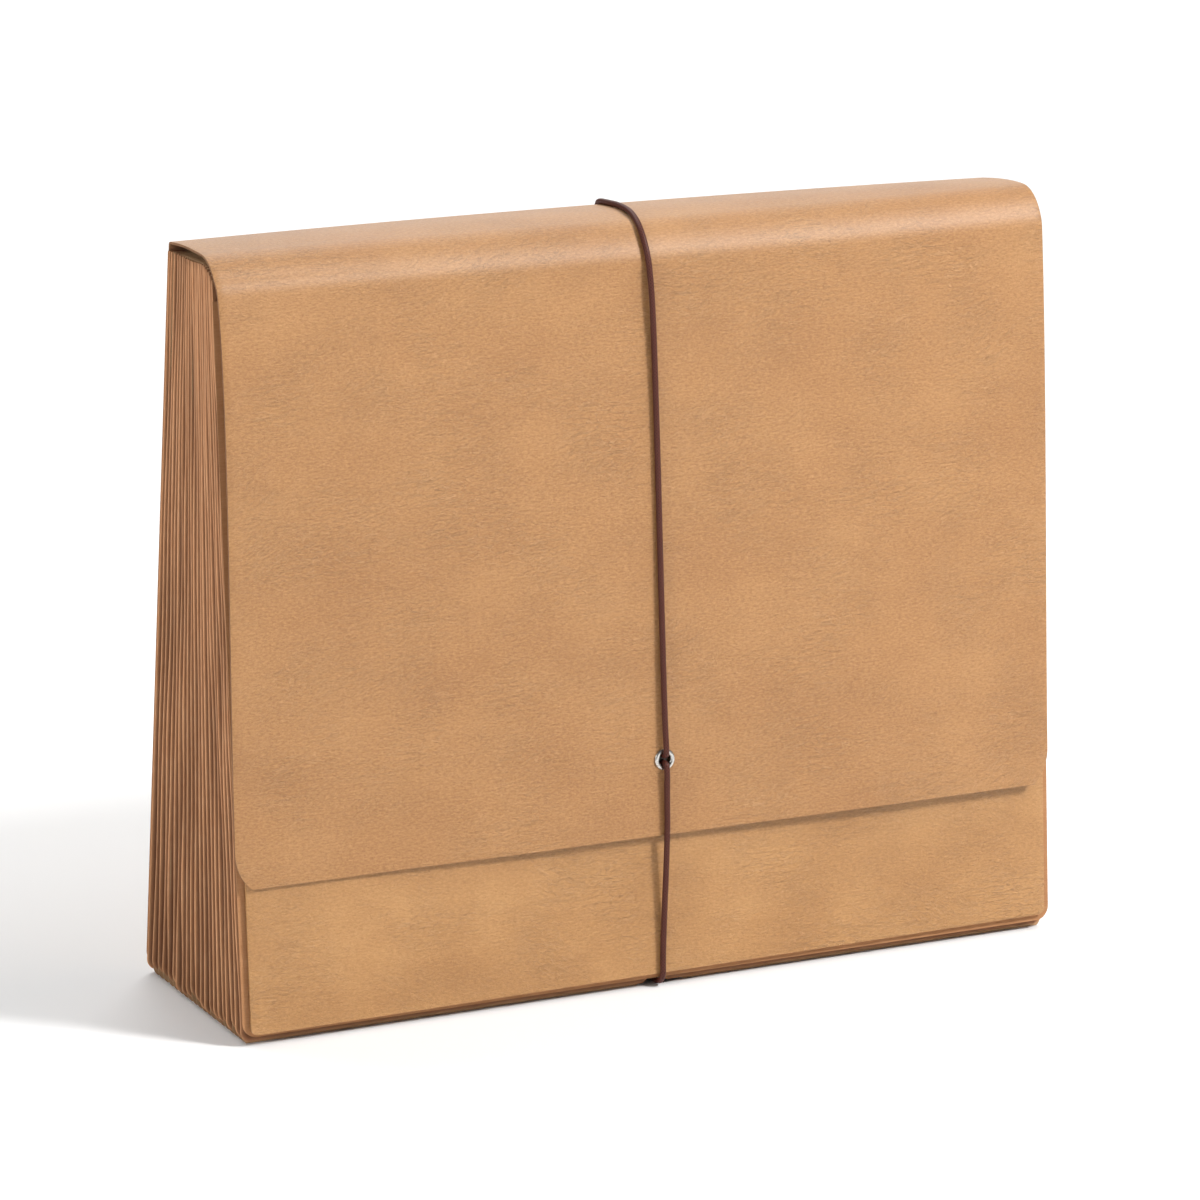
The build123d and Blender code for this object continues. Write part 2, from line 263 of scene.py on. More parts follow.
def grainedBoard(name, look):
    # embossed board: fine pebble all over, patches of thin wrinkles across and some aslant,
    # faint clouds and fibres, a painted highlight that pales the wrinkle lines, under a smooth
    # sheen
    material, tree, shader = startMaterial(name)
    across = wrinkleLines(tree, look, slant=0.0, seed=1.3)
    rarer = {key: look[key] + look["slantRarer"] for key in ("patchFrom", "patchTo")}
    aslant = wrinkleLines(tree, {**look, **rarer}, slant=look["slant"], seed=8.1)
    wrinkle = mathNode(tree, "MAXIMUM", across, aslant)
    fine = patternPlace(tree, True, (1 / look["pebbleLong"], 1 / look["pebbleHigh"], 1.0))
    pebble = noiseNode(tree, fine, 1.0, detail=2.0, roughness=0.6, distortion=0.5)
    grain = addNode(tree, "ShaderNodeBump", {
        "Height": pebble, "Strength": 1.0, "Distance": look["relief"] * mm,
    })
    bump = addNode(tree, "ShaderNodeBump", {
        "Height": wrinkle, "Strength": 1.0, "Distance": look["wrinkleRelief"] * mm,
        "Normal": grain.outputs["Normal"],
    })
    cloudScale = (1 / look["cloudLong"], 1 / look["cloudHigh"], 1 / look["cloudHigh"])
    wide = patternPlace(tree, True, cloudScale, seed=5.5)
    cloud = noiseNode(tree, wide, 1.0, detail=5.0, roughness=0.62)
    speckScale = (1 / look["speckLong"], 1 / look["speckHigh"], 1.0)
    speck = patternPlace(tree, True, speckScale, seed=2.2)
    fibre = noiseNode(tree, speck, 1.0, detail=3.0, roughness=0.75)
    tone = toneNode(tree, cloud, fibre, look["cloudShare"])
    colour = rampNode(tree, tone, look["tones"], (look["deep"], look["mid"], look["pale"]))
    # painted highlight: the wrinkle lines are mixed towards a pale colour, as if they caught the
    # light
    wrinkleHighlight = mathNode(tree, "MULTIPLY", wrinkle, look["paintedHighlightShare"])
    setInputs(tree, shader, {
        "Base Color": mixNode(tree, wrinkleHighlight, colour, (*look["paintedHighlight"], 1)),
        "Roughness": rangeNode(tree, pebble, noiseSpan, look["roughness"] - look["glossier"],
                               look["roughness"] + look["duller"]),
        "Normal": bump.outputs["Normal"],
        "Specular IOR Level": look["specular"],
        "Coat Weight": look["sheen"],
        "Coat Roughness": look["sheenRoughness"],
    })
    return material


paperLook = {
    "deep": (0.535, 0.252, 0.120), "mid": (0.625, 0.314, 0.156), "pale": (0.695, 0.374, 0.198),
    "tones": (0.34, 0.50, 0.66), "fibreLong": 7.0, "fibreScale": 2.4, "cloudScale": 0.11,
    "cloudShare": 0.5, "roughness": 0.78, "specular": 0.25, "relief": 0.06, "strength": 0.4,
}
# painted shade: a near-black colour mixed into the gusset paper down in the folds, where the crest
# mark is low
paintedValleyShade = {"colour": (0.110, 0.036, 0.016), "span": (0.18, 0.82)}


def plainPaper(name, look, flat, paintFoldShade=False):
    # uncoated paper: fibres drawn out along the sheet and a faint cloudiness, with painted
    # shade darker down in the folds when paintFoldShade is set
    material, tree, shader = startMaterial(name)
    drawn = patternPlace(tree, flat, (1 / look["fibreLong"], 1.0, 1.0))
    plain = patternPlace(tree, flat, (1.0, 1.0, 1.0))
    fibre = noiseNode(tree, drawn, look["fibreScale"], detail=4.0, roughness=0.68)
    cloud = noiseNode(tree, plain, look["cloudScale"], detail=3.0, roughness=0.6)
    tone = toneNode(tree, cloud, fibre, look["cloudShare"])
    colour = rampNode(tree, tone, look["tones"], (look["deep"], look["mid"], look["pale"]))
    if paintFoldShade:
        # painted shade in the valleys, stronger the further a point lies from its ridge
        crest = addNode(tree, "ShaderNodeAttribute", attribute_name="crest").outputs["Fac"]
        share = rangeNode(tree, crest, paintedValleyShade["span"])
        colour = mixNode(tree, share, (*paintedValleyShade["colour"], 1), colour)
    bump = addNode(tree, "ShaderNodeBump", {
        "Height": fibre, "Strength": look["strength"], "Distance": look["relief"] * mm,
    })
    setInputs(tree, shader, {
        "Base Color": colour,
        "Normal": bump.outputs["Normal"],
        "Roughness": look["roughness"],
        "Specular IOR Level": look["specular"],
    })
    return material


metalLook = {
    "colour": (0.62, 0.60, 0.565), "dull": (0.46, 0.44, 0.41), "tones": (0.35, 0.65),
    "haze": 1.6, "roughness": 0.24, "glossier": 0.06, "duller": 0.08,
}


def platedMetal(name, look):
    # bright plate, hazed by handling
    material, tree, shader = startMaterial(name)
    place = patternPlace(tree, False, (1.0, 1.0, 1.0))
    haze = noiseNode(tree, place, look["haze"], detail=4.0, roughness=0.65)
    setInputs(tree, shader, {
        "Base Color": rampNode(tree, haze, look["tones"], (look["dull"], look["colour"])),
        "Roughness": rangeNode(tree, haze, noiseSpan, look["roughness"] + look["duller"],
                               look["roughness"] - look["glossier"]),
        "Metallic": 1.0,
    })
    return material


elasticLook = {
    "dark": (0.024, 0.0056, 0.0036), "thread": (0.100, 0.0250, 0.0155), "tones": (0.45, 0.98),
    "picks": 560, "ends": 6, "roughness": 0.50, "specular": 0.28, "relief": 0.10, "strength": 0.6,
}


def braidedElastic(name, look):
    # two sets of threads that cross round the cord: |sin| of along plus round, and of
    # along minus round
    material, tree, shader = startMaterial(name)
    layout = addNode(tree, "ShaderNodeTexCoord").outputs["UV"]
    place = addNode(tree, "ShaderNodeSeparateXYZ", {"Vector": layout})
    along = mathNode(tree, "MULTIPLY", place.outputs["X"], look["picks"] * math.pi)
    around = mathNode(tree, "MULTIPLY", place.outputs["Y"], look["ends"] * math.pi)
    right, left = (
        mathNode(tree, "ABSOLUTE", mathNode(tree, "SINE", mathNode(tree, way, along, around)))
        for way in ("ADD", "SUBTRACT")
    )
    weave = mathNode(tree, "MAXIMUM", right, left)
    bump = addNode(tree, "ShaderNodeBump", {
        "Height": weave, "Strength": look["strength"], "Distance": look["relief"] * mm,
    })
    setInputs(tree, shader, {
        "Base Color": rampNode(tree, weave, look["tones"], (look["dark"], look["thread"])),
        "Normal": bump.outputs["Normal"],
        "Roughness": look["roughness"],
        "Specular IOR Level": look["specular"],
    })
    return material


def recoloured(look, deep, mid, pale, **changes):
    return {**look, "deep": deep, "mid": mid, "pale": pale, **changes}


coverGrain = grainedBoard("coverGrain", grainLook)
frontGrain = grainedBoard("frontGrain", recoloured(
    grainLook, (0.360, 0.172, 0.055), (0.440, 0.220, 0.074), (0.515, 0.272, 0.100),
    cloudShare=0.42
))
# lining paper for the inside and cut edges of the cover sheet, its colour darkened past the paper's
# own to paint the shade in the gap under the flap
liningWithPaintedShade = plainPaper("liningWithPaintedShade", recoloured(
    paperLook, (0.20, 0.098, 0.047), (0.245, 0.122, 0.059), (0.285, 0.148, 0.074)
), True)
gussetPaper = plainPaper("gussetPaper", paperLook, True, paintFoldShade=True)
leafPaper = plainPaper("leafPaper", recoloured(
    paperLook, (0.37, 0.172, 0.074), (0.43, 0.210, 0.094), (0.48, 0.246, 0.116)
), False)
dividerCard = plainPaper("dividerCard", recoloured(
    paperLook, (0.42, 0.245, 0.125), (0.48, 0.29, 0.155), (0.53, 0.335, 0.185),
    fibreLong=3.0
), False)
eyeletPlate = platedMetal("eyeletPlate", metalLook)
clipSteel = platedMetal("clipSteel", {
    **metalLook, "colour": (0.130, 0.115, 0.105), "dull": (0.085, 0.075, 0.068),
    "roughness": 0.42,
})
elasticBraid = braidedElastic("elasticBraid", elasticLook)
print("materials made")


# The leaves of the body: leaf 0 at the back, leaf 21 at the front
leaves = {
    "pockets": 21, "halfWidth": 152.5, "footDepth": 89.4, "mouthDepth": 38.0,
    "mouthHeight": 255.0, "setback": 16.3, "footCrowding": 0.12, "mouthCrowding": 0.3,
}
leafCount = leaves["pockets"] + 1


def backShare(k, crowding):
    even = 1 - k / leaves["pockets"]
    return even * (1 - crowding * (1 - even))


def leafFoot(k):
    return -leaves["footDepth"] / 2 + leaves["footDepth"] * backShare(k, leaves["footCrowding"])


def leafMouth(k):
    share = backShare(k, leaves["mouthCrowding"])
    return -leaves["footDepth"] / 2 + leaves["setback"] + leaves["mouthDepth"] * share


def leafUp(k):
    rise = np.array([0.0, leafMouth(k) - leafFoot(k), leaves["mouthHeight"]])
    return rise / np.linalg.norm(rise)


def leafPoint(k, x, h, out=0.0):
    # foot of the leaf, plus h up the leaf, plus out along its front normal
    up = leafUp(k)
    y = leafFoot(k) + up[1] * h - up[2] * out
    z = up[2] * h + up[1] * out
    return np.stack(np.broadcast_arrays(x, y, z), axis=-1)


# Cover: back and flap as one creased sheet. Each run of rows is (from, to, count), from
# and to counted from the marks it lies between.
cover = {
    "halfWidth": 152.0, "thickness": 0.8, "rim": 0.16, "columns": 118, "flatStart": (160, 262),
    "backFoot": 3.0, "backRun": 261.0, "backCorner": 5.0,
    "crease": (10.10035, 258.6984), "creaseSoft": 1.3,
    "forward": (-0.99966, 0.02618), "topRun": 28.19,
    "bendCentre": (-18.42209, 246.44083), "bendRadius": 13.0, "bendTurn": 1.52077, "bendRun": 19.8,
    "panelDown": (-0.07612, -0.9971), "panelOut": (-0.9971, 0.07612), "panelRun": 194.58,
    "cornerRise": 12.5, "cornerInset": 5.6, "cornerArc": 0.75,
    "footRows": 7, "backRows": (8, -6, 60), "creaseRows": (-4, 4, 49), "topRows": (6, -1, 10),
    "bendRows": (0, 0, 22), "panelRows": (22, -1, 82), "cornerRows": 14,
    "leftTuck": 2.1, "rightLift": 0.6, "skew": 1.9,
    "wave": 0.25, "waveAcross": 0.055, "wavePhase": 0.7, "waveDown": 0.021,
    "bowLeft": 3.6, "bowRight": 0.8, "bowFrom": 14, "bowPast": 5.8, "bowHigh": 0.6,
    "eyelet": (1.5, -44.21654, 79.33865), "holeRadius": 2.9,
    "holeRows": (211.5, 221.5), "holeColumns": (-2.2, 8.6), "holeStep": 0.4,
    "liftAt": (-60, -20, 0, 8, 18, 26, 32, 40, 46, 60),
    "liftLeft": (0, 0, 0, 0.6, 0.5, -0.1, -0.5, -0.7, -0.6, 0),
    "liftMiddle": (0, 1.1, 1.4, 1.7, 1.7, 0.6, -0.7, -1.8, -1.6, 0),
    "liftRight": (0, 0, 0.1, 1.0, 1.6, 1.6, 1.1, 0.4, 0.1, 0),
    "liftStep": 0.5, "liftSoften": 33,
}


def coverLine(s):
    # outside line of the sheet by the length s from the crease: back below zero, then
    # top, bend and front panel, with the crease rounded by a quadratic curve
    crease, forward = np.array(cover["crease"]), np.array(cover["forward"])
    centre, radius, topRun = np.array(cover["bendCentre"]), cover["bendRadius"], cover["topRun"]
    down, out = np.array(cover["panelDown"]), np.array(cover["panelOut"])
    up = leafUp(0)[1:]
    back = crease + np.outer(np.minimum(s, 0), up)
    top = crease + np.outer(s, forward)
    bendLength = radius * cover["bendTurn"]
    turn = np.clip((s - topRun) / radius, 0, cover["bendTurn"])
    angle = math.atan2(-forward[0], forward[1]) + turn
    bend = centre + radius * np.stack([np.cos(angle), np.sin(angle)], axis=-1)
    panel = centre + radius * out + np.outer(s - topRun - bendLength, down)
    onBack, onTop, onBend = (
        (s < end)[:, None] for end in (0, topRun, topRun + bendLength)
    )
    line = np.where(onBack, back, np.where(onTop, top, np.where(onBend, bend, panel)))
    soft = cover["creaseSoft"]
    q = np.clip((s + soft) / (2 * soft), 0, 1)[:, None]
    first, last = crease - soft * up, crease + soft * forward
    rounded = (1 - q) ** 2 * first + 2 * q * (1 - q) * crease + q**2 * last
    return np.where((np.abs(s) < soft)[:, None], rounded, line)


def closeSteps(places, span, step):
    # the same places, with an even run of small steps through the span
    start, end = span
    outside = places[(places < start - step) | (places > end + step)]
    return np.sort(np.concatenate([outside, np.arange(start, end, step)]))


def coverRows(low, run):
    # lengths s of the grid's rows, from the foot of the back to the lip of the flap
    top, rise = cover["topRun"], cover["cornerRise"]

    def rows(key, start, end):
        fromStart, toEnd, count = cover[key]
        return np.linspace(start + fromStart, end + toEnd, count)

    footTurn = np.linspace(0, math.pi / 2, cover["footRows"])
    lipTurn = np.linspace(0, math.pi / 2, cover["cornerRows"])
    s = np.concatenate([
        low + cover["backCorner"] * (1 - np.cos(footTurn)),
        rows("backRows", low, 0), rows("creaseRows", 0, 0), rows("topRows", 0, top),
        rows("bendRows", top, top + cover["bendRun"]), rows("panelRows", top, run - rise),
        run - rise * (1 - np.sin(lipTurn)),
    ])
    return closeSteps(s, cover["holeRows"], cover["holeStep"])


def coverHalf(s, low, run):
    # half the sheet's width at s: drawn in at the lip's corners and the foot's
    rise, corner, arc = cover["cornerRise"], cover["backCorner"], cover["cornerArc"]
    drop = np.clip((s - (run - rise)) / rise, 0, 1)
    foot = np.clip((low + corner - s) / corner, 0, 1)
    half = np.full(len(s), cover["halfWidth"])
    half = half - cover["cornerInset"] * (1 - np.sqrt(1 - (arc * drop) ** 2)) / (
        1 - math.sqrt(1 - arc**2)
    )
    return half - corner * (1 - np.sqrt(1 - foot**2))


def coverLift(s, run, side):
    # the top arches up, most in the middle: lifts listed along s, smoothed, by side
    even = np.arange(cover["liftAt"][0], run, cover["liftStep"])
    soften = np.hanning(cover["liftSoften"]) / np.hanning(cover["liftSoften"]).sum()

    def along(key):
        listed = np.interp(even, cover["liftAt"], cover[key])
        return np.interp(s, even, np.convolve(listed, soften, "same"))[:, None]

    ends = np.where(side < 0, along("liftLeft"), along("liftRight"))
    return along("liftMiddle") * (1 - side**2) + ends * side**2


def makeCover():
    # sheet point = outside line at s, across x = u times the half width there, moved
    # along the panel normal by the warp and upwards by the lift
    top = cover["topRun"]
    run = top + cover["bendRadius"] * cover["bendTurn"] + cover["panelRun"]
    low = cover["backFoot"] - cover["backRun"]
    s = coverRows(low, run)
    even = np.linspace(-1, 1, cover["columns"]) * cover["halfWidth"]
    u = closeSteps(even, cover["holeColumns"], cover["holeStep"]) / cover["halfWidth"]
    x = coverHalf(s, low, run)[:, None] * u[None, :]
    side = x / cover["halfWidth"]
    panelShare = eased((s - top - cover["bendRun"]) / cover["panelRun"])[:, None]
    tuck, rise = cover["leftTuck"], cover["rightLift"]
    warp = panelShare * (side * (tuck + rise) / 2 - side**2 * (tuck - rise) / 2)
    warp = warp + panelShare * cover["wave"] * np.sin(
        x * cover["waveAcross"] + cover["wavePhase"]
    ) * np.sin(s[:, None] * cover["waveDown"])
    bowRun = cover["panelRun"] + cover["bowPast"]
    down = np.clip((s - top - cover["bowFrom"]) / bowRun, 0, 1)[:, None]
    bow = np.where(side < 0, cover["bowLeft"], cover["bowRight"])
    warp = warp + bow * np.sin(math.pi * down ** cover["bowHigh"]) * side**2
    line, out = coverLine(s), cover["panelOut"]
    points = np.stack([
        x - cover["skew"] * panelShare, line[:, :1] + out[0] * warp,
        line[:, 1:] + out[1] * warp + coverLift(s, run, side),
    ], axis=-1)
    centre = (points[:-1, :-1] + points[1:, 1:]) / 2
    keep = np.linalg.norm(centre - np.array(cover["eyelet"]), axis=-1) > cover["holeRadius"]
    uv = flatLayout(x, s[:, None], cover["flatStart"])
    piece = gridObject("coverSheet", points, uv, [coverGrain, liningWithPaintedShade], keep)
    thicken(piece, cover["thickness"], cover["rim"], 1)
    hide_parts("back_board", "flap")
    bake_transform(piece)
    return piece


coverSheet = makeCover()
print("cover sheet made:", len(coverSheet.data.polygons), "faces")


# Front board, glued on the last leaf
frontBoard = {
    "halfWidth": 150.1, "foot": 5.4, "top": 247.4, "corner": 2.4, "out": 1.0, "thickness": 0.8,
    "rim": 0.18, "columns": 96, "rows": 76, "rowGap": 3, "arcRows": 10, "askew": 1.5,
    "wave": 0.18, "waveAcross": 0.031, "wavePhase": 1.2, "waveUp": 0.024,
    "sideHold": 8, "edgeHold": 20, "flatStart": (160, 10),
}


def makeFrontBoard():
    # flat sheet with rounded corners: each row h is as wide as the corner arc leaves it,
    # with a slow wave that is held flat at the edges
    b = frontBoard
    corner = b["corner"]
    arc = corner * (1 - np.cos(np.linspace(0, math.pi / 2, b["arcRows"])))
    first, last = b["foot"] + corner + b["rowGap"], b["top"] - corner - b["rowGap"]
    h = np.concatenate(
        [b["foot"] + arc, np.linspace(first, last, b["rows"]), b["top"] - arc[::-1]]
    )
    nearEdge = np.clip(corner - np.minimum(h - b["foot"], b["top"] - h), 0, corner)
    half = b["halfWidth"] - corner + np.sqrt(corner**2 - nearEdge**2)
    x = half[:, None] * np.linspace(-1, 1, b["columns"])[None, :]
    leftShare = 0.5 - 0.5 * x / b["halfWidth"]
    hh = h[:, None] - b["askew"] * leftShare * (1 - h[:, None] / b["top"])
    inner = np.clip(1 - (x / b["halfWidth"]) ** b["sideHold"], 0, 1) * np.clip(
        np.minimum(hh - b["foot"], b["top"] - hh) / b["edgeHold"], 0, 1
    )
    across = np.sin(x * b["waveAcross"] + b["wavePhase"])
    out = b["out"] + inner * b["wave"] * (1 + across * np.cos(hh * b["waveUp"]))
    points = leafPoint(leaves["pockets"], x, hh, out)
    piece = gridObject("frontBoard", points, flatLayout(x, hh, b["flatStart"]), [frontGrain])
    thicken(piece, b["thickness"], b["rim"])
    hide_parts("front_board")
    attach(piece, "front")


makeFrontBoard()
print("front board made")


# Pleated gusset: one fold between each two leaves, carried round both sides and the foot
gusset = {
    "depth": 12.0, "ridge": 0.40, "ridgeSpread": 0.10, "wall": 0.22, "lift": 0.1, "slack": 0.7,
    "corner": 5.0, "cornerSpread": 2.2, "cornerLeast": -0.6, "tightest": 0.3,
    "sway": 0.34, "swayBeat": 1.5, "swayBack": 1.3, "swayFront": 0.7,
    "inset": 0.75, "insetBeat": 2.0, "endInset": 0.16, "footInset": 2.9,
    "sines": 4, "beatSpan": 7, "leastSine": 0.4,
    "sideSteps": 96, "arcSteps": 9, "footSteps": 100, "footMiddle": 0.3,
    "dentX": -0.4, "dentDepth": 2.4, "dentRadius": 5.0, "dentReach": 5,
    "roundSteps": 5, "wallSteps": (0.04, 0.1, 0.18, 0.3, 0.55, 0.8, 0.93), "leanPast": 0.2,
    "shade": 1.45, "flatShrink": 1.5, "flatApart": 26,
    "tops": (258.144, 257.887, 257.651, 257.434, 257.239, 257.065, 256.911, 256.779,
             256.669, 256.580, 256.512, 256.467, 256.444, 256.443, 256.426, 256.241,
             255.881, 255.346, 254.624, 253.681, 252.445, 250.734),
}
middleSag = np.sin(math.pi * np.linspace(0, 1, leafCount))
foldTops = np.array(gusset["tops"]) - gusset["slack"] * middleSag
pathSteps = 2 * gusset["sideSteps"] + 2 * gusset["arcSteps"] + gusset["footSteps"]


def ridgeWaver(least):
    # smooth uneven lines, one per ridge: sines of the path share, each with its own
    # beat, phase and size
    share = np.linspace(0, 1, pathSteps)[None, :, None]
    shape = (leafCount, 1, gusset["sines"])
    beat = rng.uniform(least, least * gusset["beatSpan"], shape)
    phase = rng.uniform(0, 2 * math.pi, shape)
    size = rng.uniform(gusset["leastSine"], 1.0, shape)
    return (size * np.sin(2 * math.pi * beat * share + phase)).sum(axis=2) / size.sum(axis=2)


swayShare = np.linspace(gusset["swayBack"], gusset["swayFront"], leafCount)[:, None]
ridgeSway = ridgeWaver(gusset["swayBeat"]) * swayShare * gusset["sway"]
ridgeSway[[0, -1]] = 0.0
ridgeInset = (0.5 + 0.5 * ridgeWaver(gusset["insetBeat"])) * gusset["inset"]
ridgeInset[[0, -1]] = gusset["endInset"]
# the front leaf's fold is drawn up under its edge
ridgeInset[-1, gusset["sideSteps"]:-gusset["sideSteps"]] = gusset["footInset"]
ridgeCorner = gusset["corner"] + gusset["cornerSpread"] * rng.uniform(
    gusset["cornerLeast"], 1, leafCount
)
ridgeCorner[[0, -1]] = gusset["corner"]
ridgeSize = gusset["ridge"] + gusset["ridgeSpread"] * rng.uniform(-1, 1, leafCount)


def rimPath(d, top, corner):
    # the rim set in by d: down the left side, round a corner, along the foot with a dent
    # where the elastic passes, round a corner and up the right side
    half = leaves["halfWidth"] - d
    radius = np.maximum(corner - d, gusset["tightest"])
    low = d + gusset["lift"]
    sideSteps, arcSteps, footSteps = (gusset[key] for key in ("sideSteps", "arcSteps", "footSteps"))
    steps = [sideSteps, arcSteps, footSteps, arcSteps, sideSteps]
    left, leftArc, foot, rightArc, right = np.split(np.arange(pathSteps), np.cumsum(steps)[:-1])
    side = np.linspace(0, 1, sideSteps, endpoint=False)[:, None]
    turn = np.linspace(0, 1, arcSteps, endpoint=False)[:, None] * math.pi / 2
    across = np.linspace(-1, 1, footSteps)[:, None]
    middle = gusset["footMiddle"]  # closer steps where the elastic passes under
    across = across * (middle + (1 - middle) * across**2)
    x, h = np.zeros_like(d), np.zeros_like(d)
    x[left], h[left] = -half[left], top[left] + (low + radius - top)[left] * side
    x[leftArc] = -half[leftArc] + radius[leftArc] * (1 - np.cos(turn))
    h[leftArc] = low[leftArc] + radius[leftArc] * (1 - np.sin(turn))
    x[foot] = (half - radius)[foot] * across
    dent = gusset["dentDepth"] - gusset["dentRadius"] + np.sqrt(
        np.maximum(gusset["dentRadius"] ** 2 - (x[foot] - gusset["dentX"]) ** 2, 0)
    )
    dentShare = np.clip(1 - d[foot] / gusset["dentReach"], 0, 1)
    h[foot] = low[foot] + np.maximum(dent, 0) * dentShare
    x[rightArc] = half[rightArc] - radius[rightArc] * (1 - np.cos(turn[::-1]))
    h[rightArc] = low[rightArc] + radius[rightArc] * (1 - np.sin(turn[::-1]))
    x[right], h[right] = half[right], top[right] + (low + radius - top)[right] * side[::-1]
    return x, h


def makeFold(k):
    # profile from ridge to valley to ridge: a quarter round of the ridge's radius, then a
    # straight wall to the valley; crest marks how near a point is to its ridge, which sets
    # how little painted shade its colour gets down the valley
    quarter = np.linspace(0, math.pi / 2, gusset["roundSteps"])
    wall = np.array(gusset["wallSteps"])
    full = gusset["depth"]
    slope = np.concatenate([0 * quarter, wall, [1.0]])
    halves, crests = [], []
    for ridge, sign in ((k, 1), (k + 1, -1)):
        r = ridgeSize[ridge]
        reach = np.concatenate([r * np.sin(quarter), np.full(len(wall), r), [0.0]])
        depth = np.concatenate([r * (1 - np.cos(quarter)), r + (full - r) * wall, [full]])
        fade = 1 - depth / full
        d = depth[None, :] + fade[None, :] * ridgeInset[ridge][:, None]
        top = foldTops[ridge] * fade + (foldTops[k] + foldTops[k + 1]) / 2 * (1 - fade)
        x, h = rimPath(d, np.broadcast_to(top[None, :], d.shape), ridgeCorner[ridge])
        behind, ahead = leafPoint(k, x, h), leafPoint(k + 1, x, h)
        gap = np.linalg.norm(ahead - behind, axis=-1)
        sway = sign * fade[None, :] * ridgeSway[ridge][:, None]
        side = (reach * (1 - slope))[None, :] + slope[None, :] * gap / 2 + sway
        share = np.clip(side / gap, -gusset["leanPast"], 0.5)
        share = (share if sign == 1 else 1 - share)[..., None]
        halves.append(behind * (1 - share) + ahead * share)
        # crest falls off with depth into the fold; low crest means more painted shade
        crests.append(np.exp(-d / gusset["shade"]))
    points = np.concatenate([halves[0], halves[1][:, -2::-1]], axis=1)
    crest = np.concatenate([crests[0], crests[1][:, -2::-1]], axis=1)
    steps = np.linalg.norm(np.diff(points, axis=1), axis=-1).mean(axis=0)
    v = np.concatenate([[0], np.cumsum(steps)])
    lengths = np.linalg.norm(np.diff(points[:, 0], axis=0), axis=-1)
    u = np.concatenate([[0], np.cumsum(lengths)])
    uv = flatLayout(u[:, None], v[None, :], (0, gusset["flatApart"] * k)) / gusset["flatShrink"]
    piece = gridObject(f"gussetFold_{k:02d}", points, uv, [gussetPaper], marks={"crest": crest})
    thicken(piece, gusset["wall"])
    nodes = {0: ["back_fold"], 20: ["pleat_20", "front_fold"]}.get(k, [f"pleat_{k:02d}"])
    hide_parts(*nodes)
    middle = leafPoint(k + 0.5, np.array(0.0), np.array(leaves["mouthHeight"]))
    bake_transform(piece)
    return piece


folds = [makeFold(k) for k in range(leaves["pockets"])]
print("gusset folds made:", len(folds), "with", len(folds[0].data.polygons), "faces each")


# Eyelet: a ring with a domed flange and a rolled lip behind
eyelet = {
    "bore": 2.2, "wall": 0.3, "flange": 3.7, "flangeHigh": 0.55, "domeSteps": 15, "domeFull": 0.7,
    "lip": 3.2, "lipFace": -1.15, "lipHigh": 0.4, "turns": 64, "flatTurn": 7,
}


def makeEyelet():
    # profile (radius, height) turned about the panel normal
    e = eyelet
    arc = np.linspace(0, math.pi, e["domeSteps"])
    half = (e["flange"] - e["bore"]) / 2
    dome = np.stack([
        e["bore"] + half - half * np.cos(arc), e["flangeHigh"] * np.sin(arc) ** e["domeFull"]
    ], axis=-1)
    barrel, lipBack = e["bore"] + e["wall"], e["lipFace"] - e["lipHigh"]
    lip = np.array([[barrel, 0.0], [barrel, e["lipFace"]], [e["lip"], e["lipFace"]],
                    [e["lip"], lipBack], [e["bore"], lipBack]])
    profile = np.concatenate([dome, lip, dome[:1]])
    angle = np.linspace(0, 2 * math.pi, e["turns"] + 1)
    out = np.array([0.0, *cover["panelOut"]])
    across, upward = np.array([1.0, 0.0, 0.0]), -np.array([0.0, *cover["panelDown"]])
    ring = np.cos(angle)[:, None] * across + np.sin(angle)[:, None] * upward
    centre = np.array(cover["eyelet"])
    points = centre + ring[:, None, :] * profile[None, :, :1] + out * profile[None, :, 1:]
    turned, through = angle[:, None] / e["flatTurn"], np.linspace(0, 1, len(profile))[None, :]
    uv = np.stack(np.broadcast_arrays(turned, through), axis=-1)
    piece = gridObject("eyeletRing", points, uv, [eyeletPlate])
    mergeSeam(piece)
    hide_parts("eyelet")
    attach(piece, "flap")


makeEyelet()
print("eyelet made")


# Elastic: one cord from the crimp up the flap, over, down the back, under and up to the crimp
elastic = {
    "diameter": 2.0, "sides": 14, "resolution": 24, "order": 3, "slack": 0.03, "hang": 4.2,
    "route": (
        (1.5, -41.387, 80.276), (1.5, -44.73, 80.53), (1.5, -45.99, 81.78),
        (1.3, -44.6, 93.0), (2.2, -35.45, 206.0), (1.1, -34.0, 244.0), (0.4, -29.2, 255.9),
        (2.2, -18.5, 261.1), (3.4, -6.0, 262.0), (3.4, 4.5, 261.45), (3.3, 9.9, 261.15),
        (3.2, 11.4, 260.2), (3.15, 11.9, 255.5), (3.0, 12.8, 247.8), (-0.2, 45.1, 13.2),
        (-0.4, 48.0, 0.9), (-0.4, 34.6, 1.25), (-0.4, -34.4, 1.25), (-0.3, -47.7, 0.9),
        (-0.2, -46.75, 13.3), (1.2, -47.4, 53.5), (1.4, -46.45, 66.4), (1.5, -46.34, 77.19),
        (1.5, -44.90, 78.24), (1.5, -41.562, 77.983),
    ),
}


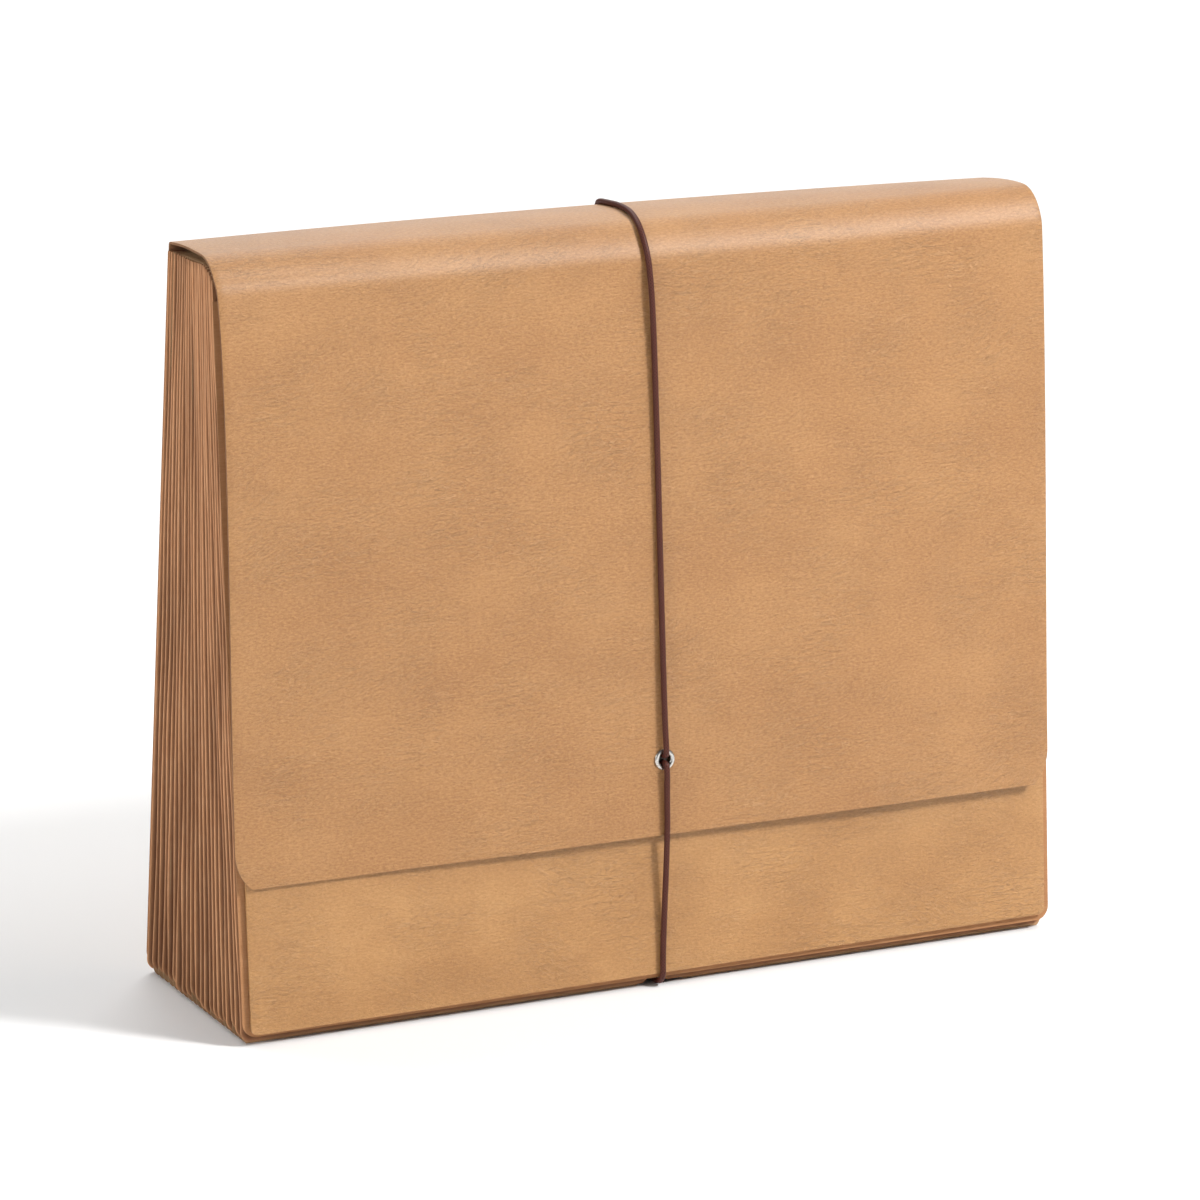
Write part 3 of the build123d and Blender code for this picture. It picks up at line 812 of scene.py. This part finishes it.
def smoothLine(route):
    # places in mm along a smooth spline that the route's points steer
    curve = bpy.data.curves.new("elasticLine", "CURVE")
    curve.dimensions = "3D"
    curve.resolution_u = elastic["resolution"]
    spline = curve.splines.new("NURBS")
    spline.points.add(len(route) - 1)
    places = np.array([(*np.array(p) * mm, 1.0) for p in route], np.float32)
    spline.points.foreach_set("co", places.ravel())
    spline.order_u = elastic["order"]
    spline.use_endpoint_u = True
    holder = bpy.data.objects.new("elasticLine", curve)
    bpy.context.scene.collection.objects.link(holder)
    bpy.context.view_layer.update()
    lineMesh = bpy.data.meshes.new_from_object(holder)
    line = np.zeros(len(lineMesh.vertices) * 3, np.float32)
    lineMesh.vertices.foreach_get("co", line)
    bpy.data.objects.remove(holder)
    bpy.data.meshes.remove(lineMesh)
    bpy.data.curves.remove(curve)
    return line.reshape(-1, 3).astype(float) / mm


def makeElastic():
    # tube = centre line + radius (cos a side + sin a up), with side kept across the file
    e = elastic
    line = smoothLine(e["route"])
    along = np.gradient(line, axis=0)
    along /= np.linalg.norm(along, axis=1, keepdims=True)
    side = np.array([1.0, 0.0, 0.0]) - along * along[:, :1]
    side /= np.linalg.norm(side, axis=1, keepdims=True)
    up = np.cross(along, side)
    angle = np.linspace(0, 2 * math.pi, e["sides"] + 1)
    cosine, sine = np.cos(angle)[None, :, None], np.sin(angle)[None, :, None]
    points = line[:, None] + e["diameter"] / 2 * (cosine * side[:, None] + sine * up[:, None])
    length = np.concatenate([[0], np.cumsum(np.linalg.norm(np.diff(line, axis=0), axis=1))])
    share, turn = length[:, None] / length[-1], angle[None, :] / (2 * math.pi)
    uv = np.stack(np.broadcast_arrays(share, turn), axis=-1)
    piece = gridObject("elasticCord", points, uv, [elasticBraid])
    mergeSeam(piece)
    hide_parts("elastic_cord")
    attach(piece, "flap")
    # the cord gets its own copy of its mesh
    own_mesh(piece)
    return length[-1]


elasticLength = makeElastic()
print(f"elastic made: {elasticLength:.1f} mm long")


# The CAD pieces that show as they are
dressing = {
    **{f"divider_{n:02d}": dividerCard for n in range(1, leaves["pockets"])},
    "back_leaf": leafPaper, "front_leaf": leafPaper,
    "eyelet_washer": eyeletPlate, "cord_clip": clipSteel,
}
for node, material in dressing.items():
    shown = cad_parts[node]
    shown.data.materials.clear()
    shown.data.materials.append(material)
print("cards, leaves and metal dressed")


# Floor and light, in metres and watts
studio = {
    "floor": (0.96, 0.96, 0.955), "floorReach": 6, "floorDrop": 0.0002, "floorRoughness": 0.9,
    "sky": 0.15,
}
lamps = {
    "keyLamp": {"place": (1.05, -1.2, 1.4), "target": (0, 0, 0.12), "width": 0.42, "power": 36.5},
    "overheadLamp": {"place": (0, 3.2, 3.6), "target": (0, 3.2, 0), "width": 5.2, "power": 165.0},
    "fillLamp": {"place": (-1.6, -0.5, 0.7), "target": (0, 0, 0.12), "width": 0.9, "power": 11.0},
    "topLamp": {"place": (0.75, -0.62, 1.6), "target": (0, 0, 0.2), "width": 1.0, "power": 9.0},
    "behindLamp": {"place": (1.25, 2.6, 1.0), "target": (0, 0, 0.25), "width": 2.2, "power": 11.0},
}

reach, drop = studio["floorReach"], -studio["floorDrop"]
floorMesh = bpy.data.meshes.new("floor")
floorMesh.from_pydata(
    [(-reach, -reach, drop), (reach, -reach, drop), (reach, reach, drop), (-reach, reach, drop)],
    [], [(0, 1, 2, 3)]
)
floorMaterial, floorTree, floorShader = startMaterial("paleFloor")
setInputs(floorTree, floorShader, {
    "Base Color": (*studio["floor"], 1), "Roughness": studio["floorRoughness"],
})
floorMesh.materials.append(floorMaterial)
floor = bpy.data.objects.new("floor", floorMesh)
bpy.context.scene.collection.objects.link(floor)

bpy.context.scene.view_settings.view_transform = "Standard"
world = bpy.data.worlds.new("studio")
world.use_nodes = True
setInputs(world.node_tree, world.node_tree.nodes["Background"], {
    "Color": (1, 1, 1, 1), "Strength": studio["sky"],
})
bpy.context.scene.world = world

for name, values in lamps.items():
    lamp = bpy.data.objects.new(name, bpy.data.lights.new(name, "AREA"))
    lamp.data.shape = "DISK"
    lamp.data.size = values["width"]
    lamp.data.energy = values["power"]
    lamp.location = values["place"]
    lamp.rotation_euler = aim(values["place"], values["target"])
    bpy.context.scene.collection.objects.link(lamp)
print("floor and light set")
